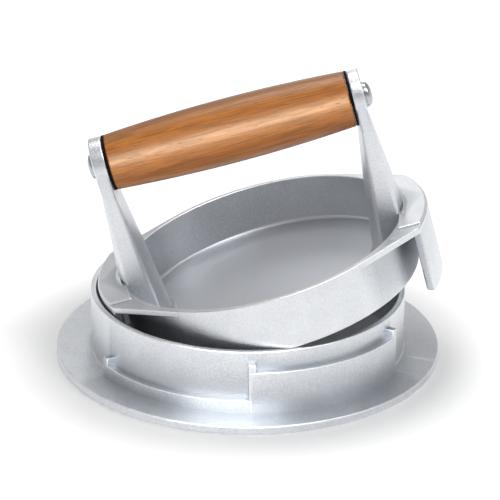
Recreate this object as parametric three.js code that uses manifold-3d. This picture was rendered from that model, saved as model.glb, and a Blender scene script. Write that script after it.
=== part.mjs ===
// Patty press: a flanged forming ring with three depth steps, and a lift-off press with a wood grip.
// Millimetres, +Z up. The press leans in the ring, right side up, as it is shown.
import * as THREE from "three";
import { mergeVertices } from "three/addons/utils/BufferGeometryUtils.js";
import Module from "manifold-3d";

const wasm = await Module();
wasm.setup();

// Ring: bore, wall and flange
const boreDiameter = 115.6;
const ringWall = 2.2;
const ringHeight = 26.5;
const flangeWidth = 13.5;
const flangeThickness = 3.3;
const wallFillet = 1;
const ringEdgeBreak = 0.6;

// Ring: depth pads outside the wall, two of each level, and the nubs at their ends
const padThickness = 2.8;
const lowPadHeight = 5;
const highPadHeight = 16.1;
const nubHeight = 2.8;
const nubWidth = 2.8;
const padSectorDegrees = 60.4;

// Press: dish
const dishSideClearance = 1.2;
const dishHeight = 20.5;
const dishWall = 2.3;
const dishFloor = 2;
const dishBottomRound = 1.2;
const dishInnerFillet = 1.4;
const dishEdgeBreak = 0.3;

// Press: lobes on the rim and the tabs that hang from them
const lobeThickness = 2.4;
const lobeTopRise = 0.8;
const lobeCornerRound = 3;
const tabWallClearance = 1.1;
const tabThickness = 3.4;
const tabDrop = 6.2;
const tabBottomRound = 4.5;
const tabHalfDegrees = 24.5;
const lobeTopHalfWidth = 24;
const lobeTopWaistWidth = 22;
const lobeTopOverhang = 1.5;
const lobeTopTaper = 2;

// Press: posts and lug eyes
const boltAxisHeight = 66.3;
const lugRadius = 10.5;
const lugThickness = 4.4;
const lugEdgeBreak = 0.6;
const postBaseWidth = 24;
const postEdgeRound = 1.3;
const postOuterSpread = 1.9;
const postInnerSpread = 4.1;
const postOuterBulge = 4.3;
const postInnerBulge = 3.3;
const postFootFillet = 1.5;

// Grip, end washers and through bolt
const gripLength = 92;
const gripEndDiameter = 21;
const gripMiddleDiameter = 24.4;
const gripEdgeRound = 0.5;
const washerThickness = 0.4;
const washerOverhang = 0.2;
const seatGap = 0.3;
const sleeveDiameter = 6.2;
const sleeveBore = 4.6;
const sleeveBoreDepth = 60;
const threadLength = 42;
const boltHoleClearance = 0.4;
const threadClearance = 0.3;
const headDiameter = 8.2;
const headHeight = 2.3;
const headRimHeight = 0.5;
const headWasherDiameter = 8.8;
const headWasherThickness = 0.5;
const socketAcrossFlats = 4;
const socketDepth = 1.5;

// How the press lies in the ring, and how far the ring is turned under it
const restTiltDegrees = 15.2;
const restClearance = 0.3;
const ringTurnDegrees = -1.3;

// Overrun of cuts past the faces they open
const overrun = 1;

// Facet counts
const roundFacets = 96;
const gripFacets = 36;
const smallFacets = 24;

// Derived radii and levels
const boreRadius = boreDiameter / 2;
const ringRadius = boreRadius + ringWall;
const flangeRadius = ringRadius + flangeWidth;
const padRadius = ringRadius + padThickness;
const lowPadTop = flangeThickness + lowPadHeight;
const highPadTop = flangeThickness + highPadHeight;
const dishRadius = boreRadius - dishSideClearance;
const dishInside = dishRadius - dishWall;
const dishWallMiddle = dishRadius - dishWall / 2;
const tabInside = ringRadius + tabWallClearance;
const tabOutside = tabInside + tabThickness;
const gripHalf = gripLength / 2;
const washerStart = gripHalf + seatGap;
const lugInside = washerStart + washerThickness + seatGap;
const lugOutside = lugInside + lugThickness;
const headWasherStart = lugOutside + seatGap;
const headStart = headWasherStart + headWasherThickness + seatGap;
const boltHoleRadius = sleeveDiameter / 2 + boltHoleClearance;

const castAluminium = new THREE.MeshStandardMaterial({
  color: 0xc6cacd,
  roughness: 0.45,
  metalness: 0.9,
});
const oiledWood = new THREE.MeshStandardMaterial({ color: 0xb87a41, roughness: 0.5, metalness: 0 });
const blackFibre = new THREE.MeshStandardMaterial({ color: 0x151312, roughness: 0.7, metalness: 0 });
const zincSteel = new THREE.MeshStandardMaterial({ color: 0xb9bdc2, roughness: 0.3, metalness: 1 });

const radians = THREE.MathUtils.degToRad;

// A closed geometry as a solid, turned to face out
function solid(geometry) {
  const plain = geometry.index ? geometry.toNonIndexed() : geometry.clone();
  plain.deleteAttribute("normal");
  plain.deleteAttribute("uv");
  const merged = mergeVertices(plain);
  const build = (indices) => {
    const triVerts = Uint32Array.from(indices);
    const vertProperties = merged.attributes.position.array;
    return new wasm.Manifold(new wasm.Mesh({ numProp: 3, vertProperties, triVerts }));
  };
  const first = Array.from(merged.index.array);
  const made = build(first);
  return made.volume() > 0 ? made : build(first.reverse());
}

function geometryOf(body) {
  const made = body.getMesh();
  const stride = made.numProp;
  const positions = new Float32Array(made.numVert * 3);
  for (let i = 0; i < made.numVert; i++) {
    positions.set(made.vertProperties.subarray(i * stride, i * stride + 3), i * 3);
  }
  const geometry = new THREE.BufferGeometry();
  geometry.setAttribute("position", new THREE.BufferAttribute(positions, 3));
  geometry.setIndex(new THREE.BufferAttribute(new Uint32Array(made.triVerts), 1));
  geometry.computeVertexNormals();
  return geometry;
}

function piece(name, body, material) {
  const mesh = new THREE.Mesh(geometryOf(body), material);
  mesh.name = name;
  return mesh;
}

// A profile of [radius, height] points turned about the Z axis
function turned(points, facets) {
  const profile = points.map(([r, z]) => new THREE.Vector2(r, z));
  return new THREE.LatheGeometry(profile, facets).rotateX(Math.PI / 2);
}

// The same about the X axis, with heights along +X
function turnedAlongX(points, facets) {
  return turned(points, facets).rotateY(Math.PI / 2);
}

// A quarter round from one angle to another about a centre
function roundPoints(cx, cy, radius, from, to, steps) {
  return Array.from({ length: steps + 1 }, (_, i) => {
    const a = radians(from + ((to - from) * i) / steps);
    return [cx + radius * Math.cos(a), cy + radius * Math.sin(a)];
  });
}

function raised(shape, from, to, curveSegments) {
  const options = { depth: to - from, bevelEnabled: false, curveSegments };
  return new THREE.ExtrudeGeometry(shape, options).translate(0, 0, from);
}

// A closed skin over sections that hold the same number of points
function loft(sections) {
  const count = sections[0].length;
  const positions = sections.flat().flatMap((p) => [p.x, p.y, p.z]);
  const indices = [];
  for (let s = 0; s + 1 < sections.length; s++) {
    for (let i = 0; i < count; i++) {
      const a = s * count + i;
      const b = s * count + ((i + 1) % count);
      indices.push(a, b, b + count, a, b + count, a + count);
    }
  }
  const top = (sections.length - 1) * count;
  for (let i = 1; i + 1 < count; i++) {
    indices.push(0, i + 1, i);
    indices.push(top, top + i, top + i + 1);
  }
  const geometry = new THREE.BufferGeometry();
  geometry.setAttribute("position", new THREE.Float32BufferAttribute(positions, 3));
  geometry.setIndex(indices);
  return geometry;
}

// A plan sector between two radii, about the direction at an angle
function sectorShape(inner, outer, fromDegrees, toDegrees) {
  const shape = new THREE.Shape();
  const from = radians(fromDegrees);
  const to = radians(toDegrees);
  shape.moveTo(inner * Math.cos(from), inner * Math.sin(from));
  shape.lineTo(outer * Math.cos(from), outer * Math.sin(from));
  shape.absarc(0, 0, outer, from, to, false);
  shape.lineTo(inner * Math.cos(to), inner * Math.sin(to));
  shape.absarc(0, 0, inner, to, from, true);
  return shape;
}

// Ring: one casting of wall, flange, pads and nubs
function ringWallProfile() {
  const brk = ringEdgeBreak;
  return [
    [boreRadius, brk],
    [boreRadius + brk, 0],
    [flangeRadius - brk, 0],
    [flangeRadius, brk],
    [flangeRadius, flangeThickness - brk],
    [flangeRadius - brk, flangeThickness],
    ...roundPoints(ringRadius + wallFillet, flangeThickness + wallFillet, wallFillet, 270, 180, 4),
    [ringRadius, ringHeight - brk],
    [ringRadius - brk, ringHeight],
    [boreRadius + brk, ringHeight],
    [boreRadius, ringHeight - brk],
    [boreRadius, brk],
  ];
}

function ringPad(fromDegrees, toDegrees, top) {
  const facets = Math.round(roundFacets * (toDegrees - fromDegrees) / 360);
  const shape = sectorShape(ringRadius - ringWall / 2, padRadius, fromDegrees, toDegrees);
  return solid(raised(shape, flangeThickness / 2, top, facets));
}

// A nub on a ledge, from one angle over its own width
function ringNub(startDegrees, ledge) {
  const width = THREE.MathUtils.radToDeg(nubWidth / padRadius);
  return ringPad(startDegrees, startDegrees + width, ledge + nubHeight);
}

function moldRing() {
  const nub = THREE.MathUtils.radToDeg(nubWidth / padRadius);
  let body = solid(turned(ringWallProfile(), roundFacets));
  for (const turn of [0, 180]) {
    const middle = 270 + turn + ringTurnDegrees;
    const lowEnd = middle - padSectorDegrees;
    const highEnd = middle + padSectorDegrees;
    const pads = [
      ringPad(lowEnd, middle, lowPadTop),
      ringPad(middle, highEnd, highPadTop),
      ringNub(lowEnd, lowPadTop),
      ringNub(middle - nub / 2, highPadTop),
      ringNub(highEnd - nub, highPadTop),
    ];
    body = pads.reduce((sum, pad) => sum.add(pad), body);
  }
  return piece("mold_ring", body, castAluminium);
}

// Press: dish with a rounded outer corner and a small inner fillet
function dishProfile() {
  const brk = dishEdgeBreak;
  const fillet = dishInnerFillet;
  const low = dishBottomRound;
  return [
    [0, 0],
    ...roundPoints(dishRadius - low, low, low, 270, 360, 5),
    [dishRadius, dishHeight - brk],
    [dishRadius - brk, dishHeight],
    [dishInside + brk, dishHeight],
    [dishInside, dishHeight - brk],
    ...roundPoints(dishInside - fillet, dishFloor + fillet, fillet, 0, -90, 4),
    [0, dishFloor],
  ];
}

// Plan of a lobe: an arc at the tab's radius joined to the rim by straight tangents
function lobeShape() {
  const half = radians(tabHalfDegrees);
  const reach = half + Math.acos(dishRadius / tabOutside);
  const corner = new THREE.Vector2(tabOutside * Math.cos(half), tabOutside * Math.sin(half));
  const touch = new THREE.Vector2(dishRadius * Math.cos(reach), dishRadius * Math.sin(reach));
  const side = touch.clone().sub(corner).setLength(lobeCornerRound).add(corner);
  const turn = half - lobeCornerRound / tabOutside;
  const shape = new THREE.Shape();
  shape.moveTo(touch.x, -touch.y);
  shape.lineTo(side.x, -side.y);
  shape.quadraticCurveTo(
    corner.x, -corner.y,
    tabOutside * Math.cos(turn), -tabOutside * Math.sin(turn),
  );
  shape.absarc(0, 0, tabOutside, -turn, turn, false);
  shape.quadraticCurveTo(corner.x, corner.y, side.x, side.y);
  shape.lineTo(touch.x, touch.y);
  shape.absarc(0, 0, dishWallMiddle, reach, -reach, true);
  return shape;
}

// The tab's wall in plan, with rounded ends
function tabShape() {
  const end = radians(tabHalfDegrees);
  const ease = tabThickness / 2 / tabOutside;
  const at = (r, a) => [r * Math.cos(a), r * Math.sin(a)];
  const shape = new THREE.Shape();
  shape.moveTo(...at(tabInside, ease - end));
  shape.quadraticCurveTo(...at(tabInside, -end), ...at((tabInside + tabOutside) / 2, -end));
  shape.quadraticCurveTo(...at(tabOutside, -end), ...at(tabOutside, ease - end));
  shape.absarc(0, 0, tabOutside, ease - end, end - ease, false);
  shape.quadraticCurveTo(...at(tabOutside, end), ...at((tabInside + tabOutside) / 2, end));
  shape.quadraticCurveTo(...at(tabInside, end), ...at(tabInside, end - ease));
  shape.absarc(0, 0, tabInside, end - ease, ease - end, true);
  return shape;
}

// The tab's front outline, seen along X, with its two lower corners rounded
function tabOutline() {
  const half = tabOutside * Math.sin(radians(tabHalfDegrees));
  const round = tabBottomRound;
  const shape = new THREE.Shape();
  shape.moveTo(-half, dishHeight);
  shape.lineTo(-half, round - tabDrop);
  shape.quadraticCurveTo(-half, -tabDrop, round - half, -tabDrop);
  shape.lineTo(half - round, -tabDrop);
  shape.quadraticCurveTo(half, -tabDrop, half, round - tabDrop);
  shape.lineTo(half, dishHeight);
  return shape;
}

function hangingTab() {
  const wall = solid(raised(tabShape(), -tabDrop, dishHeight - lobeThickness / 2, 12));
  const mask = raised(tabOutline(), 0, tabOutside + overrun, 6);
  mask.rotateX(Math.PI / 2).rotateZ(Math.PI / 2);
  return wall.intersect(solid(mask));
}

// One level of a post: straight front and back, sides that belly out towards the base
function postSection(z, grow) {
  const base = dishFloor / 2;
  const fall = Math.max(1 - (z - base) / (boltAxisHeight - lugRadius - base), 0);
  const half = lugRadius + (postBaseWidth / 2 - lugRadius) * fall + grow;
  const ease = Math.sqrt(fall);
  const outer = lugOutside + postOuterSpread * ease + grow;
  const inner = lugInside - postInnerSpread * fall - grow;
  const flat = half - postEdgeRound;
  const inset = postEdgeRound * (1 - Math.SQRT1_2);
  const steps = 8;
  const side = (x, sign, belly) => {
    const bowed = Array.from({ length: steps + 1 }, (_, i) => {
      const y = sign * flat * ((2 * i) / steps - 1);
      return new THREE.Vector3(x + sign * belly * (1 - Math.pow(y / half, 2)), y, z);
    });
    const edge = (end) => [
      new THREE.Vector3(x - sign * inset, end * (half - inset), z),
      new THREE.Vector3(x - sign * postEdgeRound, end * half, z),
    ];
    return [...edge(-sign).reverse(), ...bowed, ...edge(sign)];
  };
  return [...side(outer, 1, postOuterBulge * fall), ...side(inner, -1, postInnerBulge * ease)];
}

function post() {
  const base = dishFloor / 2;
  const seat = boltAxisHeight - lugRadius;
  const levelShares = [0, 0.2, 0.4, 0.58, 0.73, 0.85, 0.93, 0.98, 1];
  const levels = levelShares.map((s) => base + s * (seat - base));
  const shaft = solid(loft([...levels, boltAxisHeight].map((z) => postSection(z, 0))));
  const rimLevel = dishHeight - lobeThickness;
  const outsideDish = turned([
    [dishWallMiddle, -overrun],
    [tabOutside + overrun, -overrun],
    [tabOutside + overrun, rimLevel],
    [dishWallMiddle, rimLevel],
    [dishWallMiddle, -overrun],
  ], roundFacets);
  return shaft.subtract(solid(outsideDish));
}

// A flare where the post meets a level face
function postFoot(level, clip) {
  const stepShares = [-0.4, 0, 0.25, 0.55, 1];
  const sections = stepShares.map((s) => {
    const grow = postFootFillet * Math.pow(1 - Math.max(s, 0), 2);
    return postSection(level + s * postFootFillet, grow);
  });
  return solid(loft(sections)).intersect(clip);
}

// Lug eye: a disc with broken edges at the top of the post
function lugDisc() {
  const brk = lugEdgeBreak;
  return solid(turnedAlongX([
    [0, lugInside],
    [lugRadius - brk, lugInside],
    [lugRadius, lugInside + brk],
    [lugRadius, lugOutside - brk],
    [lugRadius - brk, lugOutside],
    [0, lugOutside],
  ], gripFacets).translate(0, 0, boltAxisHeight));
}

// Plan of a lobe's raised top: an arc outside, square ends, and an inner edge that tapers out
// from the post's corners to the ends
function lobeTopShape() {
  const outer = tabOutside - dishEdgeBreak;
  const half = Math.asin(lobeTopHalfWidth / outer);
  const waist = dishInside - lobeTopOverhang;
  const end = waist - lobeTopTaper;
  const shape = new THREE.Shape();
  shape.moveTo(waist, -lobeTopWaistWidth / 2);
  shape.lineTo(end, -lobeTopHalfWidth);
  shape.lineTo(outer * Math.cos(half), -lobeTopHalfWidth);
  shape.absarc(0, 0, outer, -half, half, false);
  shape.lineTo(end, lobeTopHalfWidth);
  shape.lineTo(waist, lobeTopWaistWidth / 2);
  return shape;
}

// The right half's lobe, tab, post and lug; the left is the same, turned half round
function pressSide() {
  const plate = solid(raised(lobeShape(), dishHeight - lobeThickness, dishHeight, 24));
  const low = dishHeight - lobeThickness / 2;
  const rise = solid(raised(lobeTopShape(), low, dishHeight + lobeTopRise, 16));
  const dishSpace = solid(turned([
    [0, dishFloor / 2],
    [dishWallMiddle, dishFloor / 2],
    [dishWallMiddle, dishHeight],
    [0, dishHeight],
  ], roundFacets));
  const overLobe = solid(turned([
    [dishWallMiddle, dishHeight],
    [tabOutside, dishHeight],
    [tabOutside, boltAxisHeight],
    [dishWallMiddle, boltAxisHeight],
    [dishWallMiddle, dishHeight],
  ], roundFacets));
  return [
    plate,
    rise,
    hangingTab(),
    post(),
    postFoot(dishFloor, dishSpace),
    postFoot(dishHeight + lobeTopRise, overLobe),
    lugDisc(),
  ].reduce((sum, body) => sum.add(body));
}

function pressCasting() {
  const right = pressSide();
  const left = solid(geometryOf(right).rotateZ(Math.PI));
  const hole = turnedAlongX([
    [0, -lugOutside - overrun],
    [boltHoleRadius, -lugOutside - overrun],
    [boltHoleRadius, lugOutside + overrun],
    [0, lugOutside + overrun],
  ], smallFacets).translate(0, 0, boltAxisHeight);
  const dish = solid(turned(dishProfile(), roundFacets));
  const body = dish.add(right).add(left).subtract(solid(hole));
  return piece("press_casting", body, castAluminium);
}

// Barrel grip, bored through
function woodGrip() {
  const steps = 18;
  const end = gripEndDiameter / 2;
  const belly = (gripMiddleDiameter - gripEndDiameter) / 2;
  const round = gripEdgeRound;
  const reach = gripHalf - round;
  const barrel = Array.from({ length: steps + 1 }, (_, i) => {
    const x = reach * ((2 * i) / steps - 1);
    return [end + belly * (1 - Math.pow(x / gripHalf, 2)), x];
  });
  const geometry = turnedAlongX([
    [boltHoleRadius, -gripHalf],
    [end - round, -gripHalf],
    ...barrel,
    [end - round, gripHalf],
    [boltHoleRadius, gripHalf],
    [boltHoleRadius, -gripHalf],
  ], gripFacets);
  return piece("wood_grip", solid(geometry), oiledWood);
}

function washer(name, radius, start, thickness, material) {
  const geometry = turnedAlongX([
    [boltHoleRadius, start],
    [radius, start],
    [radius, start + thickness],
    [boltHoleRadius, start + thickness],
    [boltHoleRadius, start],
  ], gripFacets);
  return piece(name, solid(geometry), material);
}

// Domed head from its seat outwards, ending on the axis
function headPoints(start) {
  const radius = headDiameter / 2;
  const dome = headHeight - headRimHeight;
  const domeShares = [0, 0.35, 0.65, 0.88];
  return [
    [radius, start],
    ...domeShares.map((s) => [
      radius * Math.sqrt(1 - s * s),
      start + headRimHeight + dome * s,
    ]),
    [0, start + headHeight],
  ];
}

function hexSocket() {
  const radius = socketAcrossFlats / Math.sqrt(3);
  const from = headStart + headHeight - socketDepth;
  return solid(turnedAlongX([
    [0, from],
    [radius, from],
    [radius, headStart + headHeight + overrun],
    [0, headStart + headHeight + overrun],
  ], 6));
}

// Sleeve nut: head on the left, tube through the grip, open at its right end
function sleeveNut() {
  const tube = sleeveDiameter / 2;
  const bore = sleeveBore / 2;
  const end = gripHalf;
  const geometry = turnedAlongX([
    [0, -headStart - headHeight],
    ...headPoints(headStart).map(([r, x]) => [r, -x]).reverse().slice(1),
    [tube, -headStart],
    [tube, end],
    [bore, end],
    [bore, end - sleeveBoreDepth],
    [0, end - sleeveBoreDepth],
  ], smallFacets);
  const socket = solid(geometryOf(hexSocket()).rotateZ(Math.PI));
  return piece("sleeve_nut", solid(geometry).subtract(socket), zincSteel);
}

// Screw: head on the right, a shoulder in the lug and a thread core in the sleeve
function handleScrew() {
  const core = sleeveBore / 2 - threadClearance;
  const shoulder = sleeveDiameter / 2;
  const shoulderEnd = gripHalf + seatGap;
  const geometry = turnedAlongX([
    [0, shoulderEnd - threadLength],
    [core, shoulderEnd - threadLength],
    [core, shoulderEnd],
    [shoulder, shoulderEnd],
    [shoulder, headStart],
    ...headPoints(headStart),
  ], smallFacets);
  return piece("handle_screw", solid(geometry).subtract(hexSocket()), zincSteel);
}

function gripSet() {
  const set = new THREE.Group();
  const gripWasher = gripEndDiameter / 2 + washerOverhang;
  const headWasher = headWasherDiameter / 2;
  const wide = washerThickness;
  const thin = headWasherThickness;
  set.add(
    woodGrip(),
    washer("left_grip_washer", gripWasher, -washerStart - wide, wide, blackFibre),
    washer("right_grip_washer", gripWasher, washerStart, wide, blackFibre),
    sleeveNut(),
    handleScrew(),
    washer("left_head_washer", headWasher, -headWasherStart - thin, thin, zincSteel),
    washer("right_head_washer", headWasher, headWasherStart, thin, zincSteel),
  );
  set.position.z = boltAxisHeight;
  return set;
}

// The rest place: the left tab just clears the bore and the dish's edge just clears the lip
function restShift(lift, lean) {
  const limit = boreRadius - restClearance;
  const half = radians(tabHalfDegrees) - tabThickness / 2 / tabOutside;
  const count = 24;
  let shift = 0;
  for (let i = 0; i <= count; i++) {
    const angle = half * ((2 * i) / count - 1);
    const x = tabOutside * Math.cos(angle);
    const y = tabOutside * Math.sin(angle);
    const atLip = (ringHeight + restClearance - lift + x * Math.sin(lean)) / Math.cos(lean);
    const z = THREE.MathUtils.clamp(atLip, -tabDrop, dishHeight);
    const wall = Math.sqrt(Math.max(limit * limit - y * y, 0));
    shift = Math.max(shift, x * Math.cos(lean) + z * Math.sin(lean) - wall);
  }
  return shift;
}

// Distance of the lip's nearest point, its broken inner edge included, to the dish's rounded outside
function lipDistance(shift, lift, lean) {
  const round = dishBottomRound;
  const brk = ringEdgeBreak;
  const lip = [
    [boreRadius, ringHeight - brk],
    [boreRadius + brk / 2, ringHeight - brk / 2],
    [boreRadius + brk, ringHeight],
    [ringRadius - brk, ringHeight],
  ];
  let least = Infinity;
  for (const [radius, level] of lip) {
    for (let degrees = 0; degrees < 360; degrees += 0.5) {
      const x = radius * Math.cos(radians(degrees)) - shift;
      const y = radius * Math.sin(radians(degrees));
      const up = level - lift;
      const localX = x * Math.cos(lean) + up * Math.sin(lean);
      const localZ = up * Math.cos(lean) - x * Math.sin(lean);
      const out = Math.hypot(localX, y) - (dishRadius - round);
      const under = round - localZ;
      const corner = Math.hypot(Math.max(out, 0), Math.max(under, 0));
      least = Math.min(least, corner > 0 ? corner - round : Math.max(out, under) - round);
    }
  }
  return least;
}

function restPlace() {
  const lean = radians(restTiltDegrees);
  let shift = 0;
  let lift = ringHeight;
  for (let pass = 0; pass < 12; pass++) {
    let low = 0;
    let high = ringHeight + dishRadius;
    for (let i = 0; i < 40; i++) {
      const middle = (low + high) / 2;
      if (lipDistance(shift, middle, lean) > restClearance) high = middle;
      else low = middle;
    }
    lift = high;
    shift = restShift(lift, lean);
  }
  return { shift, lift, lean };
}

const press = new THREE.Group();
press.add(pressCasting(), gripSet());
const rest = restPlace();
press.position.set(rest.shift, 0, rest.lift);
press.rotation.y = -rest.lean;

// The origin is on the table, under the middle of the whole object
const model = new THREE.Group();
model.add(moldRing(), press);
model.updateMatrixWorld(true);
const bounds = new THREE.Box3().setFromObject(model, true);
const centre = bounds.getCenter(new THREE.Vector3());
model.position.set(-centre.x, -centre.y, -bounds.min.z);

export default model;
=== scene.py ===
"""Burger press: cast ring and leaning press with a turned wood grip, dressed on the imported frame."""

import math

import bmesh
import bpy
from mathutils import Matrix, Vector


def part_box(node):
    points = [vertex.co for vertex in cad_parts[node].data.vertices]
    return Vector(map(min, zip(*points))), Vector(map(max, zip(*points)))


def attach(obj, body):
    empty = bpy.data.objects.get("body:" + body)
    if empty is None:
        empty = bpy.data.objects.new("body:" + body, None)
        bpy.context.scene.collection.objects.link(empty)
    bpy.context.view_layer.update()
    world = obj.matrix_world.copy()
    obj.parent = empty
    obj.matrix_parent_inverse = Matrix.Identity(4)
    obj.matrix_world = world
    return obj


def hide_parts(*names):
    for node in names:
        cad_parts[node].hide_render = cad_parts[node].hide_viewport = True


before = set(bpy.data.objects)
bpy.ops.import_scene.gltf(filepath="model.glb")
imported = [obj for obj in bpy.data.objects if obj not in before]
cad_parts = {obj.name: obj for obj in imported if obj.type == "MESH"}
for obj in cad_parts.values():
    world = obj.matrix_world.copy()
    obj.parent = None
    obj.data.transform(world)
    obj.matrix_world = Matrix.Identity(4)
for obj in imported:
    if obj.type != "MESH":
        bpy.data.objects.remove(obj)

bl_info = {
    "name": "Burger press",
    "version": (1, 0, 0),
    "blender": (4, 5, 0),
    "location": "3D View > Sidebar > Burger press",
    "description": "Builds a cast burger press with its ring, grip and studio",
    "category": "Object",
}

MM = 0.001
FULL_TURN = 2 * math.pi

# Steps of turned shapes and arcs, of the rounds on edges, and of the posts, the grip and the domed heads
ROUND_STEPS = 256
GRIP_STEPS = 128
HEAD_STEPS = 64
BEVEL_STEPS = 4
ARC_STEPS = 24
POST_STEPS = 24
POST_WIDTH_STEPS = 12
BARREL_STEPS = 32
DOME_STEPS = 8
DOME_STEP_DEGREES = 12

# Faces that meet at more than this angle keep a sharp edge, or get a round
SHARP_ANGLE = math.radians(38)

# Points nearer than the first length are one point, and edges shorter than the second are dissolved
MERGE_REACH = 0.01 * MM
SLIVER = 0.002 * MM

# How near to a corner, how level, and how near to a tab's end an edge has to lie to be picked
CORNER_REACH = 0.3 * MM
LEVEL_REACH = 0.1 * MM
END_REACH = math.radians(0.1)

# Signs along the bolt, and the words that names of pieces start with
SIDES = ((-1, "left"), (1, "right"))

# The nubs and ribs stand this much behind the pads' faces, and the head washers are this much clear of their
# neighbours, so that no two faces lie in each other
NUB_SET_BACK = 0.04 * MM
WASHER_FIT = 0.01 * MM

# The pads' rounds as a share of the ring's, and the share of the grip's length that its curved profile spans
PAD_EDGE_SHARE = 0.7
BARREL_SHARE = 0.985

# Heights of a flare's sections as shares of its size, and how strongly a post's sections crowd up to its lug
FLARE_SHARES = (-0.4, 0, 0.1, 0.2, 0.35, 0.5, 0.7, 1)
POST_CROWDING = 1.5

# Widths of the patterns on the surfaces. The real grain of the castings, the fibres and pores of the wood and
# the felt of the washers are several times finer. They are drawn as coarse as they need to be to show.
CAST_GRAIN = 0.7 * MM
CAST_MOTTLE = 9 * MM
CAST_FLOW = 14 * MM
WOOD_RINGS = 4.5 * MM
WOOD_FIBRES = 0.7 * MM
WOOD_PORES = 0.9 * MM
WASHER_FELT = 0.8 * MM
ZINC_PEEL = 1.2 * MM

# Patterns of the wood are drawn out along the grip: these are the widths' shares of their lengths
STREAK_SHARE = 0.045
PORE_SHARE = 0.25

# The painted shade on the dish's floor reaches this far into the wall, and fades between these heights over
# it
FLOOR_SHADE_REACH = 0.1 * MM
FLOOR_SHADE_FADE_LOW = 0.5 * MM
FLOOR_SHADE_FADE_HIGH = 4 * MM

# Most values of a noise pattern lie in this range
NOISE_RANGE = {"From Min": 0.3, "From Max": 0.7}

# The floor's half width in metres, and its glow, where 1 is white, which starts at the near distance from the
# ring's axis
# and is full at the far one: nearer the ring the paper is painted in shadow
PAPER_HALF = 6
PAPER_GLOW = 0.72
SHADOW_NEAR = 50 * MM
SHADOW_FAR = 112 * MM

# The tent as camera and gloss see it: white up to one rise of the ray and grey from the other, with its greys
# a little darker on the camera's side. The last value is what it sheds on the pieces.
TENT_WHITE = 0.05
TENT_GREY = 0.34
TENT_TOP = 0.42
TENT_FRONT = 0.95
TENT_FRONT_SIDE = -0.5
TENT_BACK_SIDE = 0.1
TENT_LIGHT = 0.14

# Lamps: name, place and size in metres, power in watts, and the pieces that a lamp is kept to
LAMP_AIM = (0, 0, 0.04)
SOFT_BOXES = (
    ("top_box", (-0.1, 0.5, 1.05), (0.5, 0.5), 3.4, ()),
    ("grip_strip", (-0.2, -1.25, 0.45), (1.3, 0.7), 25.0, ("turned_grip",)),
    ("ring_strip", (-0.3, -1.2, 0.4), (1.4, 0.5), 15.0, ("ring_cast",)),
    ("right_box", (0.65, -0.3, 0.9), (0.4, 0.4), 2.0, ()),
    ("back_box", (0.01, 0.42, 0.2), (0.12, 0.12), 0.05, ()),
    ("edge_box", (0.1, -0.4, 1.0), (0.4, 0.4), 4.0, ("ring_cast", "press_cast", "handle_screw_head")),
)

# The photograph's camera, as fitted to the object's outlines; lens and sensor are in millimetres
CAMERA_TILT = math.radians(23.2)
CAMERA_YAW = math.radians(3.0)
CAMERA_ROLL = math.radians(0.43)
CAMERA_DISTANCE = 900 * MM
CAMERA_AIM = (0.68 * MM, 0, 40.7 * MM)
CAMERA_LENS = 170.6
CAMERA_SENSOR = 36
CAMERA_NEAR = 10 * MM


def length(name, millimetres, description):
    return bpy.props.FloatProperty(
        name=name, description=description, default=millimetres * MM, min=0, unit="LENGTH", precision=5
    )


def angle(name, degrees, description):
    return bpy.props.FloatProperty(
        name=name, description=description, default=math.radians(degrees), subtype="ANGLE"
    )


def linear(code):
    """An sRGB hex colour as linear red, green, blue and alpha."""
    parts = [int(code[i:i + 2], 16) / 255 for i in (1, 3, 5)]
    return (*[p / 12.92 if p <= 0.04045 else ((p + 0.055) / 1.055) ** 2.4 for p in parts], 1)


def colour(name, code, description):
    return bpy.props.FloatVectorProperty(
        name=name, description=description, default=linear(code), size=4, min=0, max=1, subtype="COLOR"
    )


class RingSizes(bpy.types.PropertyGroup):
    bore: length("Bore radius", 57.8, "Inside radius of the forming ring")
    wall: length("Wall", 2.2, "Thickness of the ring's wall")
    height: length("Height", 26.5, "Height of the ring")
    flange: length("Flange", 13.5, "Width of the flange outside the wall")
    flange_thickness: length("Flange thickness", 3.3, "Thickness of the flange")
    fillet: length("Foot fillet", 1, "Fillet between wall and flange")
    edge: length("Edge round", 0.5, "Round of the ring's and pads' edges")
    pad: length("Pad", 2.8, "How far the depth pads stand out of the wall")
    low_pad: length("Low pad", 5, "Height of the low pads over the flange")
    high_pad: length("High pad", 16.1, "Height of the high pads over the flange")
    nub: length("Nub", 2.8, "Height and width of the nubs at the pads' ends")
    pad_angle: angle("Pad angle", 60.4, "Angle that each depth pad spans")
    turn: angle("Turn", -1.3, "How far the ring is turned under the press")


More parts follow.
